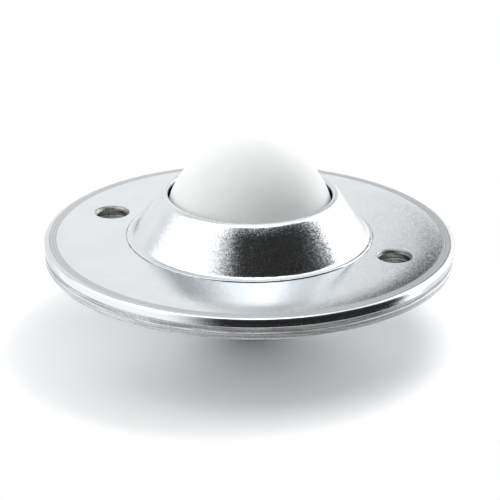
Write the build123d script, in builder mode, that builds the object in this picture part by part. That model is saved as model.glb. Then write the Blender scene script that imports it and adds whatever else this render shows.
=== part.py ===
from build123d import *
from math import acos, asin, atan, atan2, cos, degrees, pi, radians, sin, sqrt, tan
import os

# Ball transfer unit with a two-hole flange, in millimetres.
# The origin is on the mounting face, the flange's underside, in the middle between the two screw
# holes. +Z points up out of the load ball and the screw holes lie along X.

# Load ball and the bed of support balls that it turns on
ball_d = 30.0
ball_above_cover = 2.3
support_ball_d = 4.0
roll_gap = 0.03
row_slack = 0.12
top_row_angle = 84.5

# The flange: three pressings stacked at the rim
flange_d = 73.0
cover_t = 1.6
race_flange_t = 0.95
housing_flange_t = 1.25
race_rim_inset = 0.10
housing_rim_inset = 0.05
edge_break = 0.12
deburr = 0.06

# Cover flange: flat face, gentle fall towards the crease, rolled rim band, rounded edge
rim_band_w = 2.25
rim_band_drop = 0.03
crown_w = 4.5
crown_drop = 0.10
rim_round = 0.8

# Screw holes
hole_spacing = 54.0
hole_d = 5.5
hole_mouth_d = 6.4
hole_mouth_depth = 0.6

# Bowls, thinned by the drawing
race_bowl_wall = 0.85
race_mouth_r = 1.4
nest_gap = 0.04
housing_bowl_wall = 0.95
housing_mouth_r = 0.6
housing_root_r = 0.5
housing_rim_round = 0.4
foot_flat_d = 9.0
foot_proud = 0.10
foot_corner_r = 1.5

# Retaining collar: cone, opening round the ball, foot lip, spigot clinched under the cover
collar_rise = 7.95
ball_play = 0.45
opening_land = 0.55
lip_wall = 1.1
lip_inner_round = 0.35
lip_outer_round = 1.2
spigot_wall = 1.74
foot_lip_overhang = 1.05
foot_lip_w = 0.73
foot_lip_t = 0.18
foot_lip_round = 0.12
foot_fillet = 1.0
clinch = 0.5
seat_gap = 0.02

# Heights of the stack, from the mounting face up
race_flange_z = housing_flange_t
cover_z = race_flange_z + race_flange_t
cover_top_z = cover_z + cover_t
ball_z = cover_top_z + ball_above_cover
collar_top_z = cover_top_z + collar_rise

# Radii of the ball bed, from the load ball outwards
ball_r = ball_d / 2
support_ball_r = support_ball_d / 2
bed_r = ball_r + roll_gap + support_ball_r
race_r = bed_r + support_ball_r + roll_gap
race_outer_r = race_r + race_bowl_wall
housing_inner_r = race_outer_r + nest_gap
housing_outer_r = housing_inner_r + housing_bowl_wall

# Radii of the flange and its layers
flange_r = flange_d / 2
crease_r = flange_r - rim_band_w
race_flange_r = flange_r - race_rim_inset
housing_flange_r = flange_r - housing_rim_inset

# Radii of the collar and of the bore that it sits in
collar_bore_r = race_r
spigot_r = collar_bore_r + spigot_wall
foot_lip_r = spigot_r + foot_lip_overhang
cover_bore_r = spigot_r + seat_gap
opening_land_z = collar_top_z - opening_land
opening_r = sqrt((ball_r + ball_play) ** 2 - (opening_land_z - ball_z) ** 2)

# The flat foot under the bowl
foot_z = ball_z - housing_outer_r - foot_proud
foot_flat_r = foot_flat_d / 2
foot_floor_z = foot_z + housing_bowl_wall


def on_bowl(bowl_r, angle):
    """Point of a bowl's section, at an angle up from its lowest point about the ball's centre."""
    return (bowl_r * sin(angle), ball_z - bowl_r * cos(angle))


def at_height(bowl_r, z):
    """Point of a bowl's section at a height."""
    return (sqrt(bowl_r**2 - (z - ball_z) ** 2), z)


def flank_angle(bowl_r, flat_r, flat_z):
    """Angle of the straight flank that runs from a flat foot's edge to its tangent on a bowl."""
    reach = sqrt(flat_r**2 + (ball_z - flat_z) ** 2)
    return atan2(flat_r, ball_z - flat_z) + acos(bowl_r / reach)


def draw_bowl_side(bowl_r, mouth_z, flat_r, flat_z):
    """Draw a bowl's line from its mouth down: arc, flank tangent to it, flat foot to the axis."""
    mouth = at_height(bowl_r, mouth_z)
    mouth_angle = atan2(mouth[0], ball_z - mouth_z)
    lowest_angle = flank_angle(bowl_r, flat_r, flat_z)
    middle_angle = (mouth_angle + lowest_angle) / 2
    ThreePointArc(mouth, on_bowl(bowl_r, middle_angle), on_bowl(bowl_r, lowest_angle))
    Polyline(on_bowl(bowl_r, lowest_angle), (flat_r, flat_z), (0, flat_z))
    return mouth


def corner_at(profile, point):
    """The corner of a profile that lies nearest to a point."""
    return profile.vertices().sort_by_distance(point)[0]


def drill_screw_holes(z):
    """Drill the plain screw holes down from a height and break their sharp edges."""
    with Locations((0, 0, z)):
        with GridLocations(hole_spacing, 0, 2, 1):
            Hole(hole_d / 2)
    chamfer(edges(Select.LAST).filter_by(GeomType.CIRCLE), deburr)


# Cover flange
with BuildPart() as cover_flange:
    with BuildSketch(Plane.XZ) as cover_profile:
        with BuildLine():
            # The crown falls like a parabola, so its slope at the crease is twice its mean slope
            crown_start = (crease_r - crown_w, cover_top_z)
            crease = (crease_r, cover_top_z - crown_drop)
            Spline(crown_start, crease, tangents=[(1, 0), (crown_w, -2 * crown_drop)])
            Polyline(
                crease,
                (flange_r, cover_top_z - crown_drop - rim_band_drop),
                (flange_r, cover_z),
                (cover_bore_r + clinch, cover_z),
                (cover_bore_r, cover_z + clinch),
                (cover_bore_r, cover_top_z),
                crown_start,
            )
        make_face()
        fillet(corner_at(cover_profile, (flange_r, cover_top_z)), rim_round)
        fillet(corner_at(cover_profile, (flange_r, cover_z)), edge_break)
    revolve(axis=Axis.Z)
    hole_mouth_slope = atan((hole_mouth_d - hole_d) / 2 / hole_mouth_depth)
    with Locations((0, 0, cover_top_z)):
        with GridLocations(hole_spacing, 0, 2, 1):
            CounterSinkHole(
                hole_d / 2, hole_mouth_d / 2, counter_sink_angle=2 * degrees(hole_mouth_slope)
            )

# Race cup: hardened raceway and the middle layer of the flange, pressed from one sheet
with BuildPart() as race_cup:
    with BuildSketch(Plane.XZ) as race_profile:
        with BuildLine():
            bottom = 0
            half_way_up = pi / 4
            mouth = at_height(race_r, cover_z)
            root = at_height(race_outer_r, race_flange_z)
            ThreePointArc(mouth, on_bowl(race_r, half_way_up), on_bowl(race_r, bottom))
            Line(on_bowl(race_r, bottom), on_bowl(race_outer_r, bottom))
            ThreePointArc(on_bowl(race_outer_r, bottom), on_bowl(race_outer_r, half_way_up), root)
            Polyline(root, (race_flange_r, race_flange_z), (race_flange_r, cover_z), mouth)
        make_face()
        fillet(corner_at(race_profile, mouth), race_mouth_r)
        fillet(corner_at(race_profile, root), race_mouth_r - race_flange_t)
        chamfer(corner_at(race_profile, (race_flange_r, race_flange_z)), deburr)
        chamfer(corner_at(race_profile, (race_flange_r, cover_z)), deburr)
    revolve(axis=Axis.Z)
    drill_screw_holes(cover_z)

# Housing cup: outer bowl with its flat foot and the bottom layer of the flange
with BuildPart() as housing_cup:
    with BuildSketch(Plane.XZ) as housing_profile:
        with BuildLine():
            # The wall keeps its thickness round the foot's corner, so the inside flat is smaller
            foot_turn = flank_angle(housing_outer_r, foot_flat_r, foot_z)
            foot_floor_r = foot_flat_r - housing_bowl_wall * tan(foot_turn / 2)
            mouth = draw_bowl_side(housing_inner_r, race_flange_z, foot_floor_r, foot_floor_z)
            root = draw_bowl_side(housing_outer_r, 0, foot_flat_r, foot_z)
            Line((0, foot_floor_z), (0, foot_z))
            Polyline(root, (housing_flange_r, 0), (housing_flange_r, race_flange_z), mouth)
        make_face()
        fillet(corner_at(housing_profile, mouth), housing_mouth_r)
        fillet(corner_at(housing_profile, root), housing_root_r)
        fillet(corner_at(housing_profile, (foot_flat_r, foot_z)), foot_corner_r)
        fillet(corner_at(housing_profile, (housing_flange_r, 0)), housing_rim_round)
        chamfer(corner_at(housing_profile, (housing_flange_r, race_flange_z)), deburr)
    revolve(axis=Axis.Z)
    drill_screw_holes(race_flange_z)

# Retaining collar: its inside follows the cone's slope from the bore up to the opening
foot_lip_top_z = cover_top_z + foot_lip_t
cone_base = (foot_lip_r - foot_lip_w, foot_lip_top_z)
cone_top = (opening_r + lip_wall, collar_top_z)
cone_fall = (cone_top[1] - cone_base[1]) / (cone_base[0] - cone_top[0])
bore_top_z = opening_land_z - (collar_bore_r - opening_r) * cone_fall
with BuildPart() as retaining_collar:
    with BuildSketch(Plane.XZ) as collar_profile:
        with BuildLine():
            Polyline(
                (opening_r, opening_land_z),
                (opening_r, collar_top_z),
                cone_top,
                cone_base,
                (foot_lip_r, foot_lip_top_z),
                (foot_lip_r, cover_top_z),
                (spigot_r, cover_top_z),
                (spigot_r, cover_z + clinch),
                (spigot_r + clinch, cover_z),
                (collar_bore_r, cover_z),
                (collar_bore_r, bore_top_z),
                (opening_r, opening_land_z),
            )
        make_face()
        fillet(corner_at(collar_profile, (opening_r, collar_top_z)), lip_inner_round)
        fillet(corner_at(collar_profile, cone_top), lip_outer_round)
        fillet(corner_at(collar_profile, cone_base), foot_fillet)
        fillet(corner_at(collar_profile, (foot_lip_r, foot_lip_top_z)), foot_lip_round)
    revolve(axis=Axis.Z)

# Load ball
with BuildPart() as load_ball:
    with Locations((0, 0, ball_z)):
        Sphere(ball_r)

# Support balls: one at the bottom of the race, then full rows up to the collar
with BuildPart() as support_ball_bottom:
    with Locations((0, 0, ball_z - bed_r)):
        Sphere(support_ball_r)

row_pitch = 2 * asin((support_ball_r + row_slack / 2) / bed_r)
row_count = int(radians(top_row_angle) / row_pitch)
support_rows = {}
for row in range(1, row_count + 1):
    row_r, row_z = on_bowl(bed_r, row * row_pitch)
    balls_in_row = int(pi / asin((support_ball_r + row_slack / 4) / row_r))
    with BuildPart() as support_row:
        with Locations((0, 0, row_z)):
            with PolarLocations(row_r, balls_in_row):
                Sphere(support_ball_r)
    support_rows[f"support_balls_row_{row}"] = support_row

# Each piece to its own file
pieces = {
    "cover_flange": cover_flange,
    "race_cup": race_cup,
    "housing_cup": housing_cup,
    "retaining_collar": retaining_collar,
    "load_ball": load_ball,
    "support_ball_bottom": support_ball_bottom,
    **support_rows,
}
os.makedirs("parts", exist_ok=True)
for name, piece in pieces.items():
    piece.part.label = name
    export_step(piece.part, f"parts/{name}.step")
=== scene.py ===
from math import acos, atan2, cos, pi, radians, sin, sqrt, tan

import bmesh
import bpy
from mathutils import Matrix, Vector
from mathutils import noise as field


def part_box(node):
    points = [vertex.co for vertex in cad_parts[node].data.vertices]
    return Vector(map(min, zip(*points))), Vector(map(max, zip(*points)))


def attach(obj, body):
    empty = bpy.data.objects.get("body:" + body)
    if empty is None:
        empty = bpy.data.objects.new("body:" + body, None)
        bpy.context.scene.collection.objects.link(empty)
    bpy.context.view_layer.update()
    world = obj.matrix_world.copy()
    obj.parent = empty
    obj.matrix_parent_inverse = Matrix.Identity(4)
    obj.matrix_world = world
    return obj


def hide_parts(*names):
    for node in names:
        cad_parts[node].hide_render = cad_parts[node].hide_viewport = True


# A ball transfer unit: a nylon ball held by a conical collar on a two-hole flange.
# Metres, in the part's own frame: the origin is on the flange's underside between the screw
# holes, which lie along X, and +Z points up out of the ball.

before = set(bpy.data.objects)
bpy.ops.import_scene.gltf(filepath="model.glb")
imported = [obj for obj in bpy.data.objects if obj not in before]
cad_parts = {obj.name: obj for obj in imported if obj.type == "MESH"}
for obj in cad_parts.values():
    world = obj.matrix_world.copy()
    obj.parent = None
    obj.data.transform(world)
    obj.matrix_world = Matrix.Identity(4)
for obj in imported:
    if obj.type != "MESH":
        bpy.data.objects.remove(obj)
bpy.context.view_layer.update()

mm = 0.001

# Heights and radii read from the frame
cover_low, cover_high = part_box("cover_flange")
race_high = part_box("race_cup")[1]
housing_low, housing_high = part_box("housing_cup")
collar_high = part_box("retaining_collar")[1]
ball_low, ball_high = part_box("load_ball")
flange_r = cover_high.x
cover_top = cover_high.z
cover_z = cover_low.z
race_z = housing_high.z
race_rim_r = race_high.x
housing_rim_r = housing_high.x
mounting_z = 0.0
collar_top = collar_high.z
foot_z = housing_low.z
ball_r = (ball_high.z - ball_low.z) / 2
ball_z = (ball_high.z + ball_low.z) / 2

# Cover flange
rim_band_w = 2.25 * mm
rim_band_drop = 0.03 * mm
crown_w = 4.5 * mm
crown_drop = 0.10 * mm
rim_round = 0.8 * mm
edge_break = 0.12 * mm
crease_r = flange_r - rim_band_w
crown_start_r = crease_r - crown_w

# Screw holes
hole_x = 27.0 * mm
hole_r = 2.75 * mm
hole_mouth_r = 3.2 * mm
hole_mouth_depth = 0.6 * mm
mouth_shading_guard = 0.2 * mm
deburr = 0.06 * mm

# Bowls
race_wall = 0.85 * mm
race_r = 19.06 * mm
race_mouth_r = 1.4 * mm
race_root_r = 0.5 * mm
nest_gap = 0.04 * mm
housing_wall = 0.95 * mm
housing_mouth_r = 0.6 * mm
housing_root_r = 0.5 * mm
housing_rim_round = 0.4 * mm
foot_flat_r = 4.5 * mm
foot_corner_r = 1.5 * mm
race_outer_r = race_r + race_wall
housing_inner_r = race_outer_r + nest_gap
housing_outer_r = housing_inner_r + housing_wall

# Angles, in radians, that the roundings of mouth and root take from the bowls' arcs
race_mouth_room = 0.16
race_root_room = 0.12
housing_room = 0.1

# Retaining collar
ball_play = 0.45 * mm
opening_land = 0.55 * mm
lip_wall = 1.1 * mm
lip_inner_round = 0.35 * mm
lip_outer_round = 1.2 * mm
spigot_r = race_r + 1.74 * mm
foot_lip_r = collar_high.x
foot_lip_w = 0.73 * mm
foot_lip_t = 0.18 * mm
foot_lip_round = 0.12 * mm
foot_fillet = 1.0 * mm
clinch = 0.5 * mm
seat_gap = 0.02 * mm

# Load ball: how far its surface lies inside the true sphere, and how uneven it is
ball_inset = 0.006 * mm
ball_unevenness = 0.004 * mm
ball_subdivisions = 7

# Burr along the race layer's edge
burr_inset = 0.03 * mm
burr_rim_gap = 0.005 * mm
burr_least = 0.035 * mm
burr_growth = 0.26 * mm
burr_sway = 0.02 * mm
burr_seed = 3.7

# Meshing: points round Z, steps of arcs and roundings, and the window of faces round each hole
columns = 360
burr_columns = 1440
bowl_steps = 40
crown_steps = 10
rim_band_steps = 8
fillet_steps = 8
visible_fillet_steps = 10
rim_round_steps = 12
hole_window_inner_r = 22.9 * mm
hole_window_outer_r = 31.1 * mm
hole_window_rows = 16
hole_window_columns = 9
rounding_guard = 0.02 * mm
on_axis = 1e-9
sharp_angle = radians(32)

# Rings between a hole and its window, as shares of the way out from the hole's edge: those that
# close in on its mouth, and those that open out again at its lower end
closing_shares = (0.72, 0.5, 0.32, 0.18, 0.07)
opening_shares = (0.1, 0.3, 0.6)
window_radii = [
    hole_window_inner_r + (hole_window_outer_r - hole_window_inner_r) * n / hole_window_rows
    for n in range(hole_window_rows + 1)
]


# Section lines, as lists of (radius, height)


def arc(centre, radius, start, end, steps):
    """Points of an arc in a section, from one angle above the horizontal to another."""
    angles = [start + (end - start) * n / steps for n in range(steps + 1)]
    return [(centre[0] + radius * cos(a), centre[1] + radius * sin(a)) for a in angles]


def rounded(corners, steps=fillet_steps):
    """Section line through corners given as (r, z, fillet radius).

    A point just off each end of a rounding keeps the straight faces' shading flat.
    """
    points = []
    last = len(corners) - 1
    for n, (r, z, fillet) in enumerate(corners):
        if fillet == 0 or n in (0, last):
            points.append((r, z))
            continue
        here = Vector((r, z))
        back = (Vector(corners[n - 1][:2]) - here).normalized()
        ahead = (Vector(corners[n + 1][:2]) - here).normalized()
        half = back.angle(ahead) / 2
        middle = (back + ahead).normalized()
        centre = here + middle * (fillet / sin(half))
        start = here + back * (fillet * cos(half) / sin(half)) - centre
        end = here + ahead * (fillet * cos(half) / sin(half)) - centre
        turn = start.angle_signed(end)
        points.append(tuple(centre + start + back * rounding_guard))
        for k in range(steps + 1):
            swung = start.copy()
            swung.rotate(Matrix.Rotation(-turn * k / steps, 2))
            points.append(tuple(centre + swung))
        points.append(tuple(Vector(points[-1]) + ahead * rounding_guard))
    return points


def spaced(start, end, steps):
    """Points along a straight section line, its ends left out."""
    return [
        (start[0] + (end[0] - start[0]) * n / steps, start[1] + (end[1] - start[1]) * n / steps)
        for n in range(1, steps)
    ]


def bowl_reach(radius, z):
    """Radius of a bowl's section at a height."""
    return sqrt(radius**2 - (z - ball_z) ** 2)


def bowl_angle(radius, z):
    """Angle of a bowl's section at a height, measured up from its lowest point."""
    return atan2(bowl_reach(radius, z), ball_z - z)


def bowl_arc(radius, start, end):
    """Points of a bowl's section between two angles, measured up from its lowest point."""
    return arc((0, ball_z), radius, start - pi / 2, end - pi / 2, bowl_steps)


def flank_angle(radius, flat_r, flat_z):
    """Angle at which the straight flank that runs from a flat foot's edge meets a bowl."""
    reach = sqrt(flat_r**2 + (ball_z - flat_z) ** 2)
    return atan2(flat_r, ball_z - flat_z) + acos(radius / reach)


def cover_height(r):
    """Height of the cover's upper face out to the crease: flat, then a parabola's fall."""
    share = max(0.0, (r - crown_start_r) / crown_w)
    return cover_top - crown_drop * min(share, 1.0) ** 2


def plain_hole(top, bottom):
    """Section of a plain screw hole's wall from its top down, with its edges just broken."""
    return [
        (hole_r + deburr, top),
        (hole_r, top - deburr),
        (hole_r, (top + bottom) / 2),
        (hole_r, bottom + deburr),
        (hole_r + deburr, bottom),
    ]


def countersunk_hole(top, bottom):
    """Section of a screw hole's wall with a conical mouth, from its top down."""
    slope = (hole_mouth_r - hole_r) / hole_mouth_depth
    mouth_end = top - hole_mouth_depth
    eased = 0.3 * deburr
    return [
        (hole_mouth_r + deburr, top),
        (hole_mouth_r + eased, top - eased),
        (hole_mouth_r - slope * deburr, top - deburr),
        (hole_r + slope * mouth_shading_guard, mouth_end + mouth_shading_guard),
        (hole_r, mouth_end),
        (hole_r, (mouth_end + bottom) / 2),
        (hole_r, bottom + deburr),
        (hole_r + deburr, bottom),
    ]


# Meshes


def link_object(name, data):
    """Put an object with this mesh or camera in the scene."""
    thing = bpy.data.objects.new(name, data)
    bpy.context.scene.collection.objects.link(thing)
    return thing


def mesh_from(name, bm):
    """Turn a bmesh into a mesh and free it."""
    mesh = bpy.data.meshes.new(name)
    bm.to_mesh(mesh)
    bm.free()
    return mesh


def finish_mesh(name, mesh):
    """Drop unused points, turn all faces outwards, smooth them and link the object."""
    bm = bmesh.new()
    bm.from_mesh(mesh)
    bmesh.ops.delete(bm, geom=[v for v in bm.verts if not v.link_faces], context="VERTS")
    bmesh.ops.recalc_face_normals(bm, faces=bm.faces)
    bm.to_mesh(mesh)
    bm.free()
    mesh.shade_smooth()
    mesh.set_sharp_from_angle(angle=sharp_angle)
    return link_object(name, mesh)


class Turned:
    """A mesh turned about Z from a closed section, with screw holes through two of its faces."""

    def __init__(self, section):
        self.verts = []
        self.faces = []
        self.bore_faces = []
        self.rows = [self.add_row(r, z) for r, z in section]

    def add_row(self, r, z):
        """Add a section point's circle of vertices, or one vertex where it lies on the axis."""
        first = len(self.verts)
        if r < on_axis:
            self.verts.append((0.0, 0.0, z))
            return [first]
        for n in range(columns):
            a = 2 * pi * n / columns
            self.verts.append((r * cos(a), r * sin(a), z))
        return list(range(first, first + columns))

    def skin(self, windows=()):
        """Join the rows by faces, but for the windows, which are given as (first, last) rows."""
        count = len(self.rows)
        for n in range(count):
            lower, upper = self.rows[n], self.rows[(n + 1) % count]
            if len(lower) == 1 and len(upper) == 1:
                continue
            for c in range(columns):
                if any(w[0] <= n < w[1] and self.in_window(c) for w in windows):
                    continue
                d = (c + 1) % columns
                if len(lower) == 1:
                    self.faces.append((lower[0], upper[d], upper[c]))
                elif len(upper) == 1:
                    self.faces.append((lower[c], lower[d], upper[0]))
                else:
                    self.faces.append((lower[c], lower[d], upper[d], upper[c]))

    @staticmethod
    def in_window(column):
        """Whether a column of faces runs through one of the two holes' windows."""
        half = columns // 2
        near = min(column, columns - 1 - column)
        far = column - half if column >= half else half - 1 - column
        return min(near, far) < hole_window_columns

    def border(self, row_from, row_to, middle):
        """Vertices round a window, anticlockwise seen from above where the rows go outwards."""
        low, high = middle - hole_window_columns, middle + hole_window_columns
        step = 1 if row_to > row_from else -1
        loop = [(row_from, column) for column in range(high, low, -1)]
        loop += [(row, low) for row in range(row_from, row_to, step)]
        loop += [(row_to, column) for column in range(low, high)]
        loop += [(row, high) for row in range(row_to, row_from, -step)]
        return [self.rows[row][column % columns] for row, column in loop]

    def ring_about(self, loop, middle, radius, height, share=0.0):
        """A ring round a hole, each point in line with the window's; share moves it outwards."""
        ring = []
        for index in loop:
            edge = Vector(self.verts[index])
            out = edge - middle
            out.z = 0
            near = middle + out.normalized() * radius
            x = near.x + (edge.x - near.x) * share
            y = near.y + (edge.y - near.y) * share
            z = height(sqrt(x * x + y * y)) if callable(height) else height
            self.verts.append((x, y, z))
            ring.append(len(self.verts) - 1)
        return ring

    def bridge(self, one, two):
        """Join two rings of equal count by faces."""
        count = len(one)
        for n in range(count):
            m = (n + 1) % count
            self.faces.append((one[n], one[m], two[m], two[n]))

    def drill(self, top_rows, bottom_rows, top_height, wall, bore_start):
        """Join the windows of two faces by a hole's wall, given as (radius, height) points.

        The wall is bare metal, in a darker grey that paints in the shade inside the hole, from one
        of its points down; above that it is the face's edge.
        """
        mouth_r = wall[0][0]
        end_r, end_z = wall[-1]
        for middle_column, side in ((0, 1), (columns // 2, -1)):
            middle = Vector((side * hole_x, 0, 0))
            top = self.border(*top_rows, middle_column)
            bottom = self.border(*bottom_rows, middle_column)
            rings = [top]
            for share in closing_shares:
                rings.append(self.ring_about(top, middle, mouth_r, top_height, share))
            first_wall = len(rings)
            for radius, height in wall:
                rings.append(self.ring_about(top, middle, radius, height))
            for share in opening_shares:
                rings.append(self.ring_about(bottom, middle, end_r, end_z, share))
            rings.append(bottom)
            for n, (one, two) in enumerate(zip(rings, rings[1:])):
                before = len(self.faces)
                self.bridge(one, two)
                if first_wall + bore_start <= n < first_wall + len(wall) - 1:
                    self.bore_faces += range(before, len(self.faces))

    def build(self, name):
        """Make the object; the holes' walls take its second material."""
        mesh = bpy.data.meshes.new(name)
        mesh.from_pydata(self.verts, [], self.faces)
        for face in self.bore_faces:
            mesh.polygons[face].material_index = 1
        return finish_mesh(name, mesh)


# Shader nodes


def feed(tree, node, inputs):
    """Give a node's inputs their values, each a constant or the output that it is linked to."""
    for socket, value in inputs.items():
        if isinstance(value, bpy.types.NodeSocket):
            tree.links.new(value, node.inputs[socket])
        else:
            node.inputs[socket].default_value = value


def add_node(tree, kind, inputs=None, **options):
    """Add a shader node of a kind, with its options and inputs."""
    node = tree.nodes.new("ShaderNode" + kind)
    for option, value in options.items():
        setattr(node, option, value)
    feed(tree, node, inputs or {})
    return node


def math_node(tree, operation, *values):
    return add_node(tree, "Math", dict(enumerate(values)), operation=operation).outputs[0]


def vector_math(tree, operation, *values):
    return add_node(tree, "VectorMath", dict(enumerate(values)), operation=operation)


def map_range(tree, value, low, high, to_low=0.0, to_high=1.0, smooth=True):
    inputs = {
        "Value": value,
        "From Min": low,
        "From Max": high,
        "To Min": to_low,
        "To Max": to_high,
    }
    curve = "SMOOTHSTEP" if smooth else "LINEAR"
    return add_node(tree, "MapRange", inputs, interpolation_type=curve).outputs["Result"]


def noise(tree, vector, scale, detail=2.0, roughness=0.5):
    inputs = {"Vector": vector, "Scale": scale, "Detail": detail, "Roughness": roughness}
    return add_node(tree, "TexNoise", inputs).outputs["Fac"]


def radius_noise(tree, radius, scale, detail=2.0):
    """Noise that changes with the radius only, as turned or spun lines do."""
    inputs = {"W": math_node(tree, "MULTIPLY", radius, scale), "Scale": 1.0, "Detail": detail}
    return add_node(tree, "TexNoise", inputs, noise_dimensions="1D").outputs["Fac"]


def bump(tree, height, strength, distance, normal=None):
    inputs = {"Height": height, "Strength": strength, "Distance": distance}
    if normal is not None:
        inputs["Normal"] = normal
    return add_node(tree, "Bump", inputs).outputs["Normal"]


def rgba(color):
    """A constant colour with its alpha added, or a link as it is."""
    return (*color, 1.0) if isinstance(color, tuple) else color


def mix_color(tree, factor, one, two):
    inputs = {0: factor, 6: rgba(one), 7: rgba(two)}
    return add_node(tree, "Mix", inputs, data_type="RGBA").outputs[2]


def separate(tree, vector):
    """The three parts of a vector."""
    return add_node(tree, "SeparateXYZ", {0: vector}).outputs


def object_space(tree):
    """Object coordinates, and the radius from Z and the height that they give."""
    coordinates = add_node(tree, "TexCoord").outputs["Object"]
    x, y, z = separate(tree, coordinates)
    square_x = math_node(tree, "MULTIPLY", x, x)
    square_y = math_node(tree, "MULTIPLY", y, y)
    radius = math_node(tree, "SQRT", math_node(tree, "ADD", square_x, square_y))
    return coordinates, radius, z


def new_material(name):
    material = bpy.data.materials.new(name)
    material.use_nodes = True
    tree = material.node_tree
    return material, tree, tree.nodes["Principled BSDF"]


# Materials. The scales of their textures are in features per metre.

cloud_scale = 160
fine_grain_scale = 6000
crystal_scale = 6500
pinprick_scale = 130
# Patches in the painted shade round the collar's foot
seat_shade_scale = 420
rim_line_scale = 4600
cut_line_scale = 4200
cut_mottle_scale = 3600
fleck_scale = 3800
lapping_scale = 1800
nylon_mottle_scale = 380
nylon_cloud_scale = 90
nylon_grain_scale = 2600
floor_scale = 30

grain_depth = 0.01 * mm
cut_depth = 0.03 * mm
eased_lip_h = 2.0 * mm
eased_lip_depth = 0.11 * mm
eased_rim_depth = 0.2 * mm
rim_line_fade = 0.1 * mm
# Painted shade round the collar's foot: its width, and where its fade starts
seat_shade_w = 0.28 * mm
seat_shade_fade_start = 0.3 * seat_shade_w

pinprick_dark = (0.18, 0.18, 0.19)
rim_band_grey = (0.52, 0.53, 0.55)
rim_line_dark = (0.3, 0.3, 0.31)
# Colour of the painted shade round the collar's foot
seat_shade_dark = (0.12, 0.12, 0.13)
fleck_bright = (0.92, 0.92, 0.93)


class Metal:
    """A metal whose colour, gloss and normal are laid on step by step."""

    def __init__(self, name):
        self.material, self.tree, self.shader = new_material(name)
        self.coordinates, self.radius, self.height = object_space(self.tree)
        self.color = None
        self.gloss = None
        self.normal = None

    def stain(self, mask, strength, color):
        """Lay a colour over the metal where a mask is high."""
        share = math_node(self.tree, "MULTIPLY", mask, strength)
        self.color = mix_color(self.tree, share, self.color, color)

    def dull(self, mask, amount):
        """Make the metal rougher where a mask is high."""
        extra = math_node(self.tree, "MULTIPLY", mask, amount)
        self.gloss = math_node(self.tree, "ADD", self.gloss, extra)

    def ease(self, share, depth):
        """Shade the surface as if it fell like a parabola, by a depth, as a share goes to 1."""
        square = math_node(self.tree, "MULTIPLY", share, share)
        fall = math_node(self.tree, "SUBTRACT", 1.0, square)
        self.normal = bump(self.tree, fall, 1.0, depth, self.normal)

    def finish(self):
        inputs = {"Base Color": self.color, "Roughness": self.gloss, "Metallic": 1.0}
        if self.normal is not None:
            inputs["Normal"] = self.normal
        feed(self.tree, self.shader, inputs)
        return self.material


def lean_crystals(metal, amount):
    """Tilt the plating's crystals, each its own way, and dull some of them."""
    tree = metal.tree
    inputs = {"Vector": metal.coordinates, "Scale": crystal_scale}
    pick = add_node(tree, "TexVoronoi", inputs).outputs["Color"]
    centred = vector_math(tree, "SUBTRACT", pick, (0.5, 0.5, 0.5)).outputs[0]
    leant = vector_math(tree, "MULTIPLY_ADD", centred, (amount, amount, amount), metal.normal)
    metal.normal = vector_math(tree, "NORMALIZE", leant.outputs[0]).outputs[0]
    metal.dull(map_range(tree, separate(tree, pick)[0], 0.55, 1.0), 0.9 * amount)


def add_pinpricks(metal):
    """Scatter a few dark pinpricks in the plating."""
    inputs = {"Vector": metal.coordinates, "Scale": pinprick_scale}
    away = add_node(metal.tree, "TexVoronoi", inputs).outputs["Distance"]
    metal.stain(map_range(metal.tree, away, 0.012, 0.03, 1.0, 0.0), 0.55, pinprick_dark)


def zinc_plated(name, light, dark, rough, grain):
    """Bright zinc plating: cloudy tone, fine grain in gloss and relief, and a few pinpricks."""
    metal = Metal(name)
    tree = metal.tree
    clouds = map_range(tree, noise(tree, metal.coordinates, cloud_scale, 3.0), 0.35, 0.65)
    fine = noise(tree, metal.coordinates, fine_grain_scale, 1.0)
    metal.color = mix_color(tree, clouds, dark, light)
    metal.gloss = map_range(tree, fine, 0.3, 0.7, rough * 0.7, rough * 1.6)
    metal.normal = bump(tree, fine, 0.5, grain_depth)
    lean_crystals(metal, grain)
    add_pinpricks(metal)
    return metal


def draw_rim_lines(metal, inner, outer):
    """Duller ring between two radii, with fine spun lines."""
    tree = metal.tree
    inside = map_range(tree, metal.radius, inner, inner + rim_line_fade)
    outside = map_range(tree, metal.radius, outer - rim_line_fade, outer, 1.0, 0.0)
    band = math_node(tree, "MULTIPLY", inside, outside)
    lines = map_range(tree, radius_noise(tree, metal.radius, rim_line_scale), 0.35, 0.65)
    metal.stain(band, 0.38, rim_band_grey)
    metal.stain(math_node(tree, "MULTIPLY", band, lines), 0.50, rim_line_dark)
    metal.dull(band, 0.22)


def draw_seat_shade(metal):
    """Painted shade: a dark, patchy hairline on the cover round the collar's foot, where the two
    meet.
    """
    tree = metal.tree
    start, end = foot_lip_r + seat_shade_fade_start, foot_lip_r + seat_shade_w
    near = map_range(tree, metal.radius, start, end, 1.0, 0.0)
    patchy = map_range(tree, noise(tree, metal.coordinates, seat_shade_scale), 0.35, 0.6, 0.35, 0.9)
    metal.stain(near, patchy, seat_shade_dark)


def cover_plating():
    """The cover's plating. Its rim bends quickly at first, as rolled sheet does."""
    metal = zinc_plated("cover_plating", (0.765, 0.785, 0.802), (0.742, 0.762, 0.779), 0.12, 0.03)
    draw_rim_lines(metal, crease_r, flange_r - rim_round)
    # Painted shade round the collar's foot, where it meets the cover
    draw_seat_shade(metal)
    reach = map_range(metal.tree, metal.radius, flange_r - rim_round, flange_r, smooth=False)
    metal.ease(reach, eased_rim_depth)
    return metal.finish()


def collar_plating():
    """The collar's plating. The cone bends in a little before its lip and is duller there."""
    metal = zinc_plated("collar_plating", (0.80, 0.825, 0.84), (0.77, 0.795, 0.81), 0.11, 0.10)
    climb = map_range(
        metal.tree, metal.height, collar_top - eased_lip_h, collar_top, smooth=False
    )
    metal.ease(climb, eased_lip_depth)
    metal.dull(climb, 0.12)
    return metal.finish()


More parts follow.
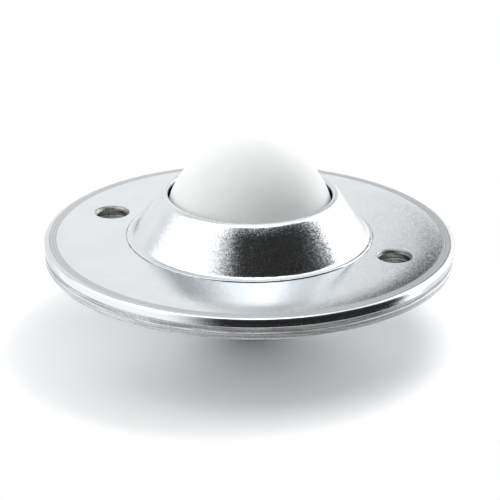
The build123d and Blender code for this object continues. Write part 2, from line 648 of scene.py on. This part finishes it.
def sheared_edge(name, light, dark, rough, fleck=0.0):
    """Cut sheet edge: matt grey, with fine lines along the cut and a few bright flecks."""
    metal = Metal(name)
    tree, coordinates = metal.tree, metal.coordinates
    stretch = {"Vector": coordinates, "Scale": (0.03, 0.03, 1.0)}
    drawn_out = add_node(tree, "Mapping", stretch).outputs["Vector"]
    lines = noise(tree, drawn_out, cut_line_scale, 2.0, 0.6)
    mottle = noise(tree, coordinates, cut_mottle_scale, 2.0, 0.6)
    blended = math_node(tree, "ADD", lines, math_node(tree, "MULTIPLY", mottle, 0.5))
    metal.color = mix_color(tree, map_range(tree, blended, 0.6, 0.9), dark, light)
    flecks = map_range(tree, noise(tree, coordinates, fleck_scale, 1.0), 0.62, 0.72)
    metal.stain(flecks, fleck, fleck_bright)
    metal.gloss = map_range(tree, mottle, 0.3, 0.7, rough * 0.85, rough * 1.15)
    metal.normal = bump(tree, mottle, 0.7, cut_depth)
    return metal.finish()


def polished_steel(name):
    """Ground and polished bearing steel with the faintest lapping haze."""
    metal = Metal(name)
    haze = noise(metal.tree, metal.coordinates, lapping_scale)
    metal.color = mix_color(metal.tree, haze, (0.55, 0.55, 0.56), (0.66, 0.66, 0.67))
    metal.gloss = map_range(metal.tree, haze, 0.3, 0.7, 0.06, 0.12)
    return metal.finish()


def nylon(name):
    """White ground nylon: faint mottling, a soft sheen and a little light passing under it."""
    material, tree, shader = new_material(name)
    coordinates = object_space(tree)[0]
    mottle = map_range(tree, noise(tree, coordinates, nylon_mottle_scale, 4.0, 0.6), 0.35, 0.65)
    clouds = map_range(tree, noise(tree, coordinates, nylon_cloud_scale), 0.35, 0.65)
    color = mix_color(tree, clouds, (0.91, 0.91, 0.905), (0.935, 0.935, 0.93))
    mottled = math_node(tree, "MULTIPLY", mottle, 0.35)
    inputs = {
        "Base Color": mix_color(tree, mottled, color, (0.96, 0.96, 0.955)),
        "Roughness": map_range(tree, mottle, 0.0, 1.0, 0.42, 0.52),
        "Normal": bump(tree, noise(tree, coordinates, nylon_grain_scale, 3.0), 0.12, grain_depth),
        "Subsurface Weight": 0.15,
        "Subsurface Radius": (1.0, 0.95, 0.9),
        "Subsurface Scale": 0.8 * mm,
        "Specular IOR Level": 0.35,
        "IOR": 1.53,
    }
    feed(tree, shader, inputs)
    return material


cover_finish = cover_plating()
collar_finish = collar_plating()
housing_finish = sheared_edge("housing_plating", (0.70, 0.71, 0.72), (0.42, 0.43, 0.44), 0.50, 0.3)
race_finish = sheared_edge("race_steel", (0.70, 0.705, 0.71), (0.34, 0.345, 0.35), 0.55, 0.4)
burr_finish = sheared_edge("race_burr", (0.95, 0.95, 0.95), (0.70, 0.70, 0.70), 0.60)
# The holes' walls: cut metal in a darker grey than the other cut edges, which paints in the shade
# inside the holes
bore_shaded_finish = sheared_edge("bore_wall_shaded", (0.46, 0.46, 0.45), (0.13, 0.13, 0.13), 0.38)
steel_finish = polished_steel("bearing_steel")
nylon_finish = nylon("white_nylon")


# Pieces


def dress(piece, body, slot, *materials):
    """Give a piece its materials and the body that it rides on; its slot is not used."""
    for material in materials:
        piece.data.materials.append(material)
    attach(piece, body)


def make_cover():
    """Cover flange: upper face, crown, rim band, rounded rim, underside, clinched bore."""
    bore_r = spigot_r + seat_gap
    top = [(bore_r, cover_top)] + [(r, cover_height(r)) for r in window_radii]
    for n in range(1, crown_steps + 1):
        r = window_radii[-1] + (crease_r - window_radii[-1]) * n / crown_steps
        top.append((r, cover_height(r)))
    crease_z = cover_top - crown_drop
    rim = rounded(
        [
            (crease_r, crease_z, 0),
            (flange_r, crease_z - rim_band_drop, rim_round),
            (flange_r, cover_z, edge_break),
            (window_radii[-1], cover_z, 0),
        ],
        rim_round_steps,
    )
    band = spaced(rim[0], rim[1], rim_band_steps)
    bottom = [(r, cover_z) for r in reversed(window_radii)]
    bore = [(bore_r + clinch, cover_z), (bore_r, cover_z + clinch)]
    section = top + band + rim[1:-1] + bottom + bore
    solid = Turned(section)
    top_rows = (1, 1 + hole_window_rows)
    first_bottom = len(section) - len(bore) - len(bottom)
    bottom_rows = (first_bottom + hole_window_rows, first_bottom)
    solid.skin(windows=[top_rows, bottom_rows[::-1]])
    wall = countersunk_hole(cover_top, cover_z)
    solid.drill(top_rows, bottom_rows, cover_height, wall, bore_start=1)
    piece = solid.build("cover_flange_plate")
    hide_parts("cover_flange")
    dress(piece, "housing", "cover_plating", cover_finish, bore_shaded_finish)


def drilled_sheet(name, section, top_z, bottom_z, node):
    """A pressing whose flange lies between two heights, drilled through its window rows."""
    solid = Turned(section)
    top_first = section.index((window_radii[0], top_z))
    bottom_first = section.index((window_radii[-1], bottom_z))
    top_rows = (top_first, top_first + hole_window_rows)
    bottom_rows = (bottom_first + hole_window_rows, bottom_first)
    solid.skin(windows=[top_rows, bottom_rows[::-1]])
    solid.drill(top_rows, bottom_rows, top_z, plain_hole(top_z, bottom_z), bore_start=0)
    piece = solid.build(name)
    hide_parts(node)
    return piece


def make_race():
    """Race cup: half-sphere raceway and the flange's middle layer, pressed from one sheet."""
    mouth_end = bowl_angle(race_r, cover_z) - race_mouth_room
    root_end = bowl_angle(race_outer_r, race_z) - race_root_room
    inside = bowl_arc(race_r, 0, mouth_end)
    outside = bowl_arc(race_outer_r, root_end, 0)
    upper = rounded(
        [
            (*inside[-1], 0),
            (bowl_reach(race_r, cover_z), cover_z, race_mouth_r),
            (window_radii[0], cover_z, 0),
        ]
    )
    lower = rounded(
        [
            (window_radii[0], race_z, 0),
            (bowl_reach(race_outer_r, race_z), race_z, race_root_r),
            (*outside[0], 0),
        ]
    )
    rim = [
        (race_rim_r - deburr, cover_z),
        (race_rim_r, cover_z - deburr),
        (race_rim_r, (cover_z + race_z) / 2),
        (race_rim_r, race_z + deburr),
        (race_rim_r - deburr, race_z),
    ]
    inside[0] = (0.0, inside[0][1])
    outside[-1] = (0.0, outside[-1][1])
    top = [(r, cover_z) for r in window_radii]
    bottom = [(r, race_z) for r in reversed(window_radii)]
    section = inside + upper[1:-1] + top + rim + bottom + lower[1:-1] + outside
    piece = drilled_sheet("race_cup_pressing", section, cover_z, race_z, "race_cup")
    dress(piece, "housing", "race_steel", race_finish, bore_shaded_finish)


def make_housing():
    """Housing cup: outer bowl with its flat foot, and the flange's bottom layer."""
    outer_flank = flank_angle(housing_outer_r, foot_flat_r, foot_z)
    floor_z = foot_z + housing_wall
    floor_r = foot_flat_r - housing_wall * tan(outer_flank / 2)
    inner_flank = flank_angle(housing_inner_r, floor_r, floor_z)
    mouth_end = bowl_angle(housing_inner_r, race_z) - housing_room
    root_end = bowl_angle(housing_outer_r, mounting_z) - housing_room
    inside = bowl_arc(housing_inner_r, inner_flank, mouth_end)
    outside = bowl_arc(housing_outer_r, root_end, outer_flank)
    upper = rounded(
        [
            (*inside[-1], 0),
            (bowl_reach(housing_inner_r, race_z), race_z, housing_mouth_r),
            (window_radii[0], race_z, 0),
        ]
    )
    lower = rounded(
        [
            (window_radii[0], mounting_z, 0),
            (bowl_reach(housing_outer_r, mounting_z), mounting_z, housing_root_r),
            (*outside[0], 0),
        ]
    )
    foot = rounded(
        [(*outside[-1], 0), (foot_flat_r, foot_z, foot_corner_r), (0.0, foot_z, 0)],
        visible_fillet_steps,
    )
    rim = rounded(
        [
            (window_radii[-1], race_z, 0),
            (housing_rim_r, race_z, deburr),
            (housing_rim_r, mounting_z, housing_rim_round),
            (window_radii[-1], mounting_z, 0),
        ],
        visible_fillet_steps,
    )
    top = [(r, race_z) for r in window_radii]
    bottom = [(r, mounting_z) for r in reversed(window_radii)]
    section = [(0.0, floor_z), (floor_r, floor_z)] + inside + upper[1:-1] + top
    section += rim[1:-1] + bottom + lower[1:-1] + outside + foot[1:]
    piece = drilled_sheet("housing_cup_pressing", section, race_z, mounting_z, "housing_cup")
    dress(piece, "housing", "housing_plating", housing_finish, bore_shaded_finish)


def make_collar():
    """Retaining collar: cone, lips and clinched spigot, turned as one piece."""
    land_z = collar_top - opening_land
    opening_r = sqrt((ball_r + ball_play) ** 2 - (land_z - ball_z) ** 2)
    foot_lip_top = cover_top + foot_lip_t
    cone_base = (foot_lip_r - foot_lip_w, foot_lip_top)
    cone_top = (opening_r + lip_wall, collar_top)
    fall = (cone_top[1] - cone_base[1]) / (cone_base[0] - cone_top[0])
    bore_top = land_z - (race_r - opening_r) * fall
    corners = [
        (opening_r, land_z, 0),
        (opening_r, collar_top, lip_inner_round),
        (*cone_top, lip_outer_round),
        (*cone_base, foot_fillet),
        (foot_lip_r, foot_lip_top, foot_lip_round),
        (foot_lip_r, cover_top, 0),
        (spigot_r, cover_top, 0),
        (spigot_r, cover_z + clinch, 0),
        (spigot_r + clinch, cover_z, 0),
        (race_r, cover_z, 0),
        (race_r, bore_top, 0),
    ]
    solid = Turned(rounded(corners, visible_fillet_steps))
    solid.skin()
    piece = solid.build("retaining_collar_ring")
    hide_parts("retaining_collar")
    dress(piece, "housing", "collar_plating", collar_finish)


def make_ball():
    """Load ball: a ground nylon ball with the faintest unevenness."""
    bm = bmesh.new()
    bmesh.ops.create_icosphere(bm, subdivisions=ball_subdivisions, radius=ball_r)
    for v in bm.verts:
        direction = v.co.normalized()
        uneven = field.noise(direction * 3.0) + 0.4 * field.noise(direction * 11.0)
        v.co = direction * (ball_r - ball_inset + ball_unevenness * uneven)
    bmesh.ops.translate(bm, verts=bm.verts, vec=(0, 0, ball_z))
    mesh = mesh_from("load_ball_nylon", bm)
    mesh.shade_smooth()
    piece = link_object("load_ball_nylon", mesh)
    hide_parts("load_ball")
    dress(piece, "load_ball", "nylon", nylon_finish)


def burr_corners(angle):
    """Corners of the burr's wedge-shaped section at an angle round the race layer's edge."""
    place = Vector((race_rim_r * cos(angle), race_rim_r * sin(angle), 0.0)) / mm
    coarse = 0.5 + 0.5 * field.noise(place * 0.9 + Vector((burr_seed, 0, 0)))
    fine = 0.5 + 0.5 * field.noise(place * 3.1 + Vector((0, burr_seed, 0)))
    size = burr_least + burr_growth * coarse * fine
    inner = race_rim_r - burr_inset
    outer = race_rim_r + min(size, flange_r - burr_rim_gap - race_rim_r)
    level = race_z + burr_sway * field.noise(place * 0.5 + Vector((0, 0, burr_seed)))
    return [
        (inner, level + size),
        (outer, level),
        (outer, level - burr_inset),
        (inner, level - burr_inset),
    ]


def make_burr():
    """Hair-thin uneven ridge that the press left along the race layer's lower edge."""
    verts, faces = [], []
    for n in range(burr_columns):
        a = 2 * pi * n / burr_columns
        corners = burr_corners(a)
        verts += [(r * cos(a), r * sin(a), z) for r, z in corners]
        count = len(corners)
        m = (n + 1) % burr_columns
        for k in range(count):
            j = (k + 1) % count
            faces.append((count * n + k, count * m + k, count * m + j, count * n + j))
    mesh = bpy.data.meshes.new("race_edge_burr")
    mesh.from_pydata(verts, [], faces)
    piece = finish_mesh("race_edge_burr", mesh)
    dress(piece, "housing", "race_steel", burr_finish)


def polish_support_balls():
    """Give the support balls, which stay as the frame has them, their polished steel."""
    for name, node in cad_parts.items():
        if name.startswith("support_ball"):
            node.data.materials.clear()
            node.data.materials.append(steel_finish)


make_cover()
make_race()
make_housing()
make_collar()
make_ball()
make_burr()
polish_support_balls()

# Camera at the photograph's viewing angle. The target is the middle of the cover's face, and the
# centre is the pixel of the square picture at which it shows.

camera_azimuth = radians(20.9)
camera_elevation = radians(22.2)
camera_distance = 335 * mm
camera_roll = radians(-0.6)
camera_clip = (10 * mm, 10000 * mm)
focal_px = 1878.0
frame_px = 500
sensor_w = 36.0
centre_u, centre_v = 249.5, 233.3
target = Vector((0, 0, cover_top))


def make_camera():
    data = bpy.data.cameras.new("camera")
    data.sensor_width = sensor_w
    data.lens = focal_px / frame_px * sensor_w
    data.clip_start, data.clip_end = camera_clip
    camera = link_object("camera", data)
    bpy.context.scene.camera = camera
    back = Vector(
        (
            sin(camera_azimuth) * cos(camera_elevation),
            -cos(camera_azimuth) * cos(camera_elevation),
            sin(camera_elevation),
        )
    )
    right = Vector((cos(camera_azimuth), sin(camera_azimuth), 0))
    yaw = atan2(centre_u - frame_px / 2, focal_px)
    pitch = atan2(centre_v - frame_px / 2, focal_px)
    forward = -back
    up = right.cross(forward)
    turn = Matrix.Rotation(yaw, 3, up)
    forward, right = turn @ forward, turn @ right
    forward = Matrix.Rotation(pitch, 3, right) @ forward
    up = right.cross(forward)
    turn = Matrix.Rotation(camera_roll, 3, forward)
    right, up = turn @ right, turn @ up
    axes = Matrix((right, up, -forward)).transposed()
    place = Matrix.Translation(target + back * camera_distance)
    camera.matrix_world = place @ axes.to_4x4()


# Studio: soft white walls and lights, with a dark room on the camera's side


class Surround:
    """Brightness of the studio by direction, laid on panel over panel.

    Angles are in degrees. Azimuth 0 is the side that the photograph was taken from, and azimuth
    grows to the camera's right.
    """

    def __init__(self, tree, brightness):
        self.tree = tree
        self.brightness = brightness
        inputs = {
            "Vector": add_node(tree, "TexCoord").outputs["Generated"],
            "Angle": pi / 2 - camera_azimuth,
        }
        turned = add_node(tree, "VectorRotate", inputs, rotation_type="Z_AXIS")
        self.direction = turned.outputs["Vector"]
        x, y, z = separate(tree, self.direction)
        self.azimuth = self.in_degrees(math_node(tree, "ARCTAN2", y, x))
        self.elevation = self.in_degrees(math_node(tree, "ARCSINE", z))

    def in_degrees(self, angle):
        return math_node(self.tree, "MULTIPLY", angle, 180 / pi)

    def lay(self, brightness, mask):
        """Lay a brightness over the surround where a mask is high."""
        inputs = {0: mask, 2: self.brightness, 3: brightness}
        self.brightness = add_node(self.tree, "Mix", inputs, data_type="FLOAT").outputs[0]

    def panel(self, brightness, azimuth, elevation, soft, soft_up=None):
        """Lay on a panel that spans two angles; soft is half the width in which an edge fades."""
        tree = self.tree
        soft_left, soft_right = soft if isinstance(soft, tuple) else (soft, soft)
        soft_up = soft_up or soft_left
        middle, half = sum(azimuth) / 2, (azimuth[1] - azimuth[0]) / 2
        level, half_up = sum(elevation) / 2, (elevation[1] - elevation[0]) / 2
        across = math_node(tree, "SUBTRACT", self.azimuth, middle)
        across = math_node(tree, "WRAP", across, 180, -180)
        above = math_node(tree, "SUBTRACT", self.elevation, level)
        above = math_node(tree, "ABSOLUTE", above)
        left_edge = map_range(tree, across, -half - soft_left, -half + soft_left)
        right_edge = map_range(tree, across, half - soft_right, half + soft_right, 1.0, 0.0)
        level_edges = map_range(tree, above, half_up - soft_up, half_up + soft_up, 1.0, 0.0)
        upright_edges = math_node(tree, "MULTIPLY", left_edge, right_edge)
        self.lay(brightness, math_node(tree, "MULTIPLY", upright_edges, level_edges))

    def spot(self, brightness, azimuth, elevation, radius, soft):
        """Lay on a round spot about one direction."""
        tree = self.tree
        a, e = radians(azimuth), radians(elevation)
        middle = (cos(a) * cos(e), sin(a) * cos(e), sin(e))
        nearness = vector_math(tree, "DOT_PRODUCT", self.direction, middle).outputs["Value"]
        nearness = math_node(tree, "MINIMUM", nearness, 1.0)
        away = self.in_degrees(math_node(tree, "ARCCOSINE", nearness))
        self.lay(brightness, map_range(tree, away, radius - soft, radius + soft, 1.0, 0.0))


def light_studio(tree):
    """The studio's brightness: its walls, lights and dark places, one over another."""
    studio = Surround(tree, 0.96)
    # Behind the part: a bright wall on the right, the backdrop, a high strip and a dim corner
    studio.panel(1.2, (140, 167), (-16, 45), 4.0)
    studio.panel(1.03, (167, 190), (8, 33), 3.0)
    studio.panel(1.0, (122, 180), (42, 78), 5.0)
    studio.panel(0.50, (-154, -124), (44, 72), 7.0)
    # Large lights in front of the part and over it
    studio.panel(2.0, (-109, 109), (-90, 72), 3.0)
    studio.panel(2.0, (-60, 50), (60, 90), 10.0)
    # Left: a grey upright, a weaker wall beside it and a weaker one below
    studio.panel(0.85, (-122, -108), (4, 50), 4.0)
    studio.panel(1.35, (-109, -10), (4, 50), 3.0)
    studio.panel(1.2, (-130, -20), (-90, 4), 4.0)
    # Right: a large light, strongest low down
    studio.panel(2.0, (80, 143), (-12, 50), 4.0)
    studio.panel(3.2, (82, 141), (-12, 24), 4.0)
    # Two lights almost overhead
    studio.spot(2.0, 106.0, 81.5, 10.5, 7.5)
    studio.spot(1.7, -114.0, 82.0, 6.0, 6.0)
    # Dark upright behind the part, with a dark spot at its top
    studio.panel(0.0, (163.0, 174.4), (21.8, 33.0), 1.4, 0.9)
    studio.spot(0.0, 172.5, 31.0, 4.5, 3.5)
    # Dark room on the camera's side
    studio.panel(0.02, (-33, 92), (30, 62), (18.0, 13.0), 5.0)
    studio.panel(0.02, (-31, 96), (-120, 33), (16.0, 12.0), 5.0)
    return studio.brightness


def make_world():
    """The studio lights the part, and what shows behind the part is plain white."""
    world = bpy.data.worlds.new("studio")
    bpy.context.scene.world = world
    world.use_nodes = True
    tree = world.node_tree
    tree.nodes.clear()
    daylight = (0.985, 0.993, 1.0, 1.0)
    plain_white = (1.0, 1.0, 1.0, 1.0)
    studio = add_node(tree, "Background", {"Color": daylight, "Strength": light_studio(tree)})
    backdrop = add_node(tree, "Background", {"Color": plain_white})
    seen = add_node(tree, "LightPath").outputs["Is Camera Ray"]
    inputs = {0: seen, 1: studio.outputs[0], 2: backdrop.outputs[0]}
    choice = add_node(tree, "MixShader", inputs)
    add_node(tree, "OutputWorld", {"Surface": choice.outputs[0]})


# Floor. Its weak glow shapes the soft shadow round the part: it changes outwards in rings, given
# as (change, x, y, start radius, end radius).

ground_r = 58 * mm
ground_gap = 0.02 * mm
ground_segments = 128
floor_glow = 0.115
floor_glow_rings = [
    (-0.115, -17.0 * mm, -16.6 * mm, 2.0 * mm, 22.0 * mm),
    (0.104, 7.0 * mm, -10.3 * mm, 0.0 * mm, 22.3 * mm),
    (0.288, -3.8 * mm, -6.6 * mm, 33.8 * mm, 45.5 * mm),
]


def floor_white():
    """Matt white floor with a weak glow."""
    material, tree, shader = new_material("floor_white")
    coordinates = object_space(tree)[0]
    cloud = noise(tree, coordinates, floor_scale)
    glow = floor_glow
    for change, x, y, start, end in floor_glow_rings:
        away = vector_math(tree, "DISTANCE", coordinates, (x, y, foot_z)).outputs["Value"]
        glow = math_node(tree, "ADD", glow, map_range(tree, away, start, end, 0.0, change))
    inputs = {
        "Base Color": mix_color(tree, cloud, (0.94, 0.94, 0.94), (0.95, 0.95, 0.95)),
        "Roughness": 0.9,
        "Specular IOR Level": 0.1,
        "Emission Color": (1.0, 1.0, 1.0, 1.0),
        "Emission Strength": glow,
    }
    feed(tree, shader, inputs)
    return material


def make_floor():
    """Round white floor under the part, its edge lost in the white backdrop."""
    bm = bmesh.new()
    bmesh.ops.create_circle(bm, cap_ends=True, segments=ground_segments, radius=ground_r)
    bmesh.ops.translate(bm, verts=bm.verts, vec=(0, 0, foot_z - ground_gap))
    floor = link_object("floor", mesh_from("floor", bm))
    floor.data.materials.append(floor_white())


make_camera()
make_world()
make_floor()

bpy.context.scene.view_settings.view_transform = "Standard"
bpy.context.scene.view_settings.look = "None"
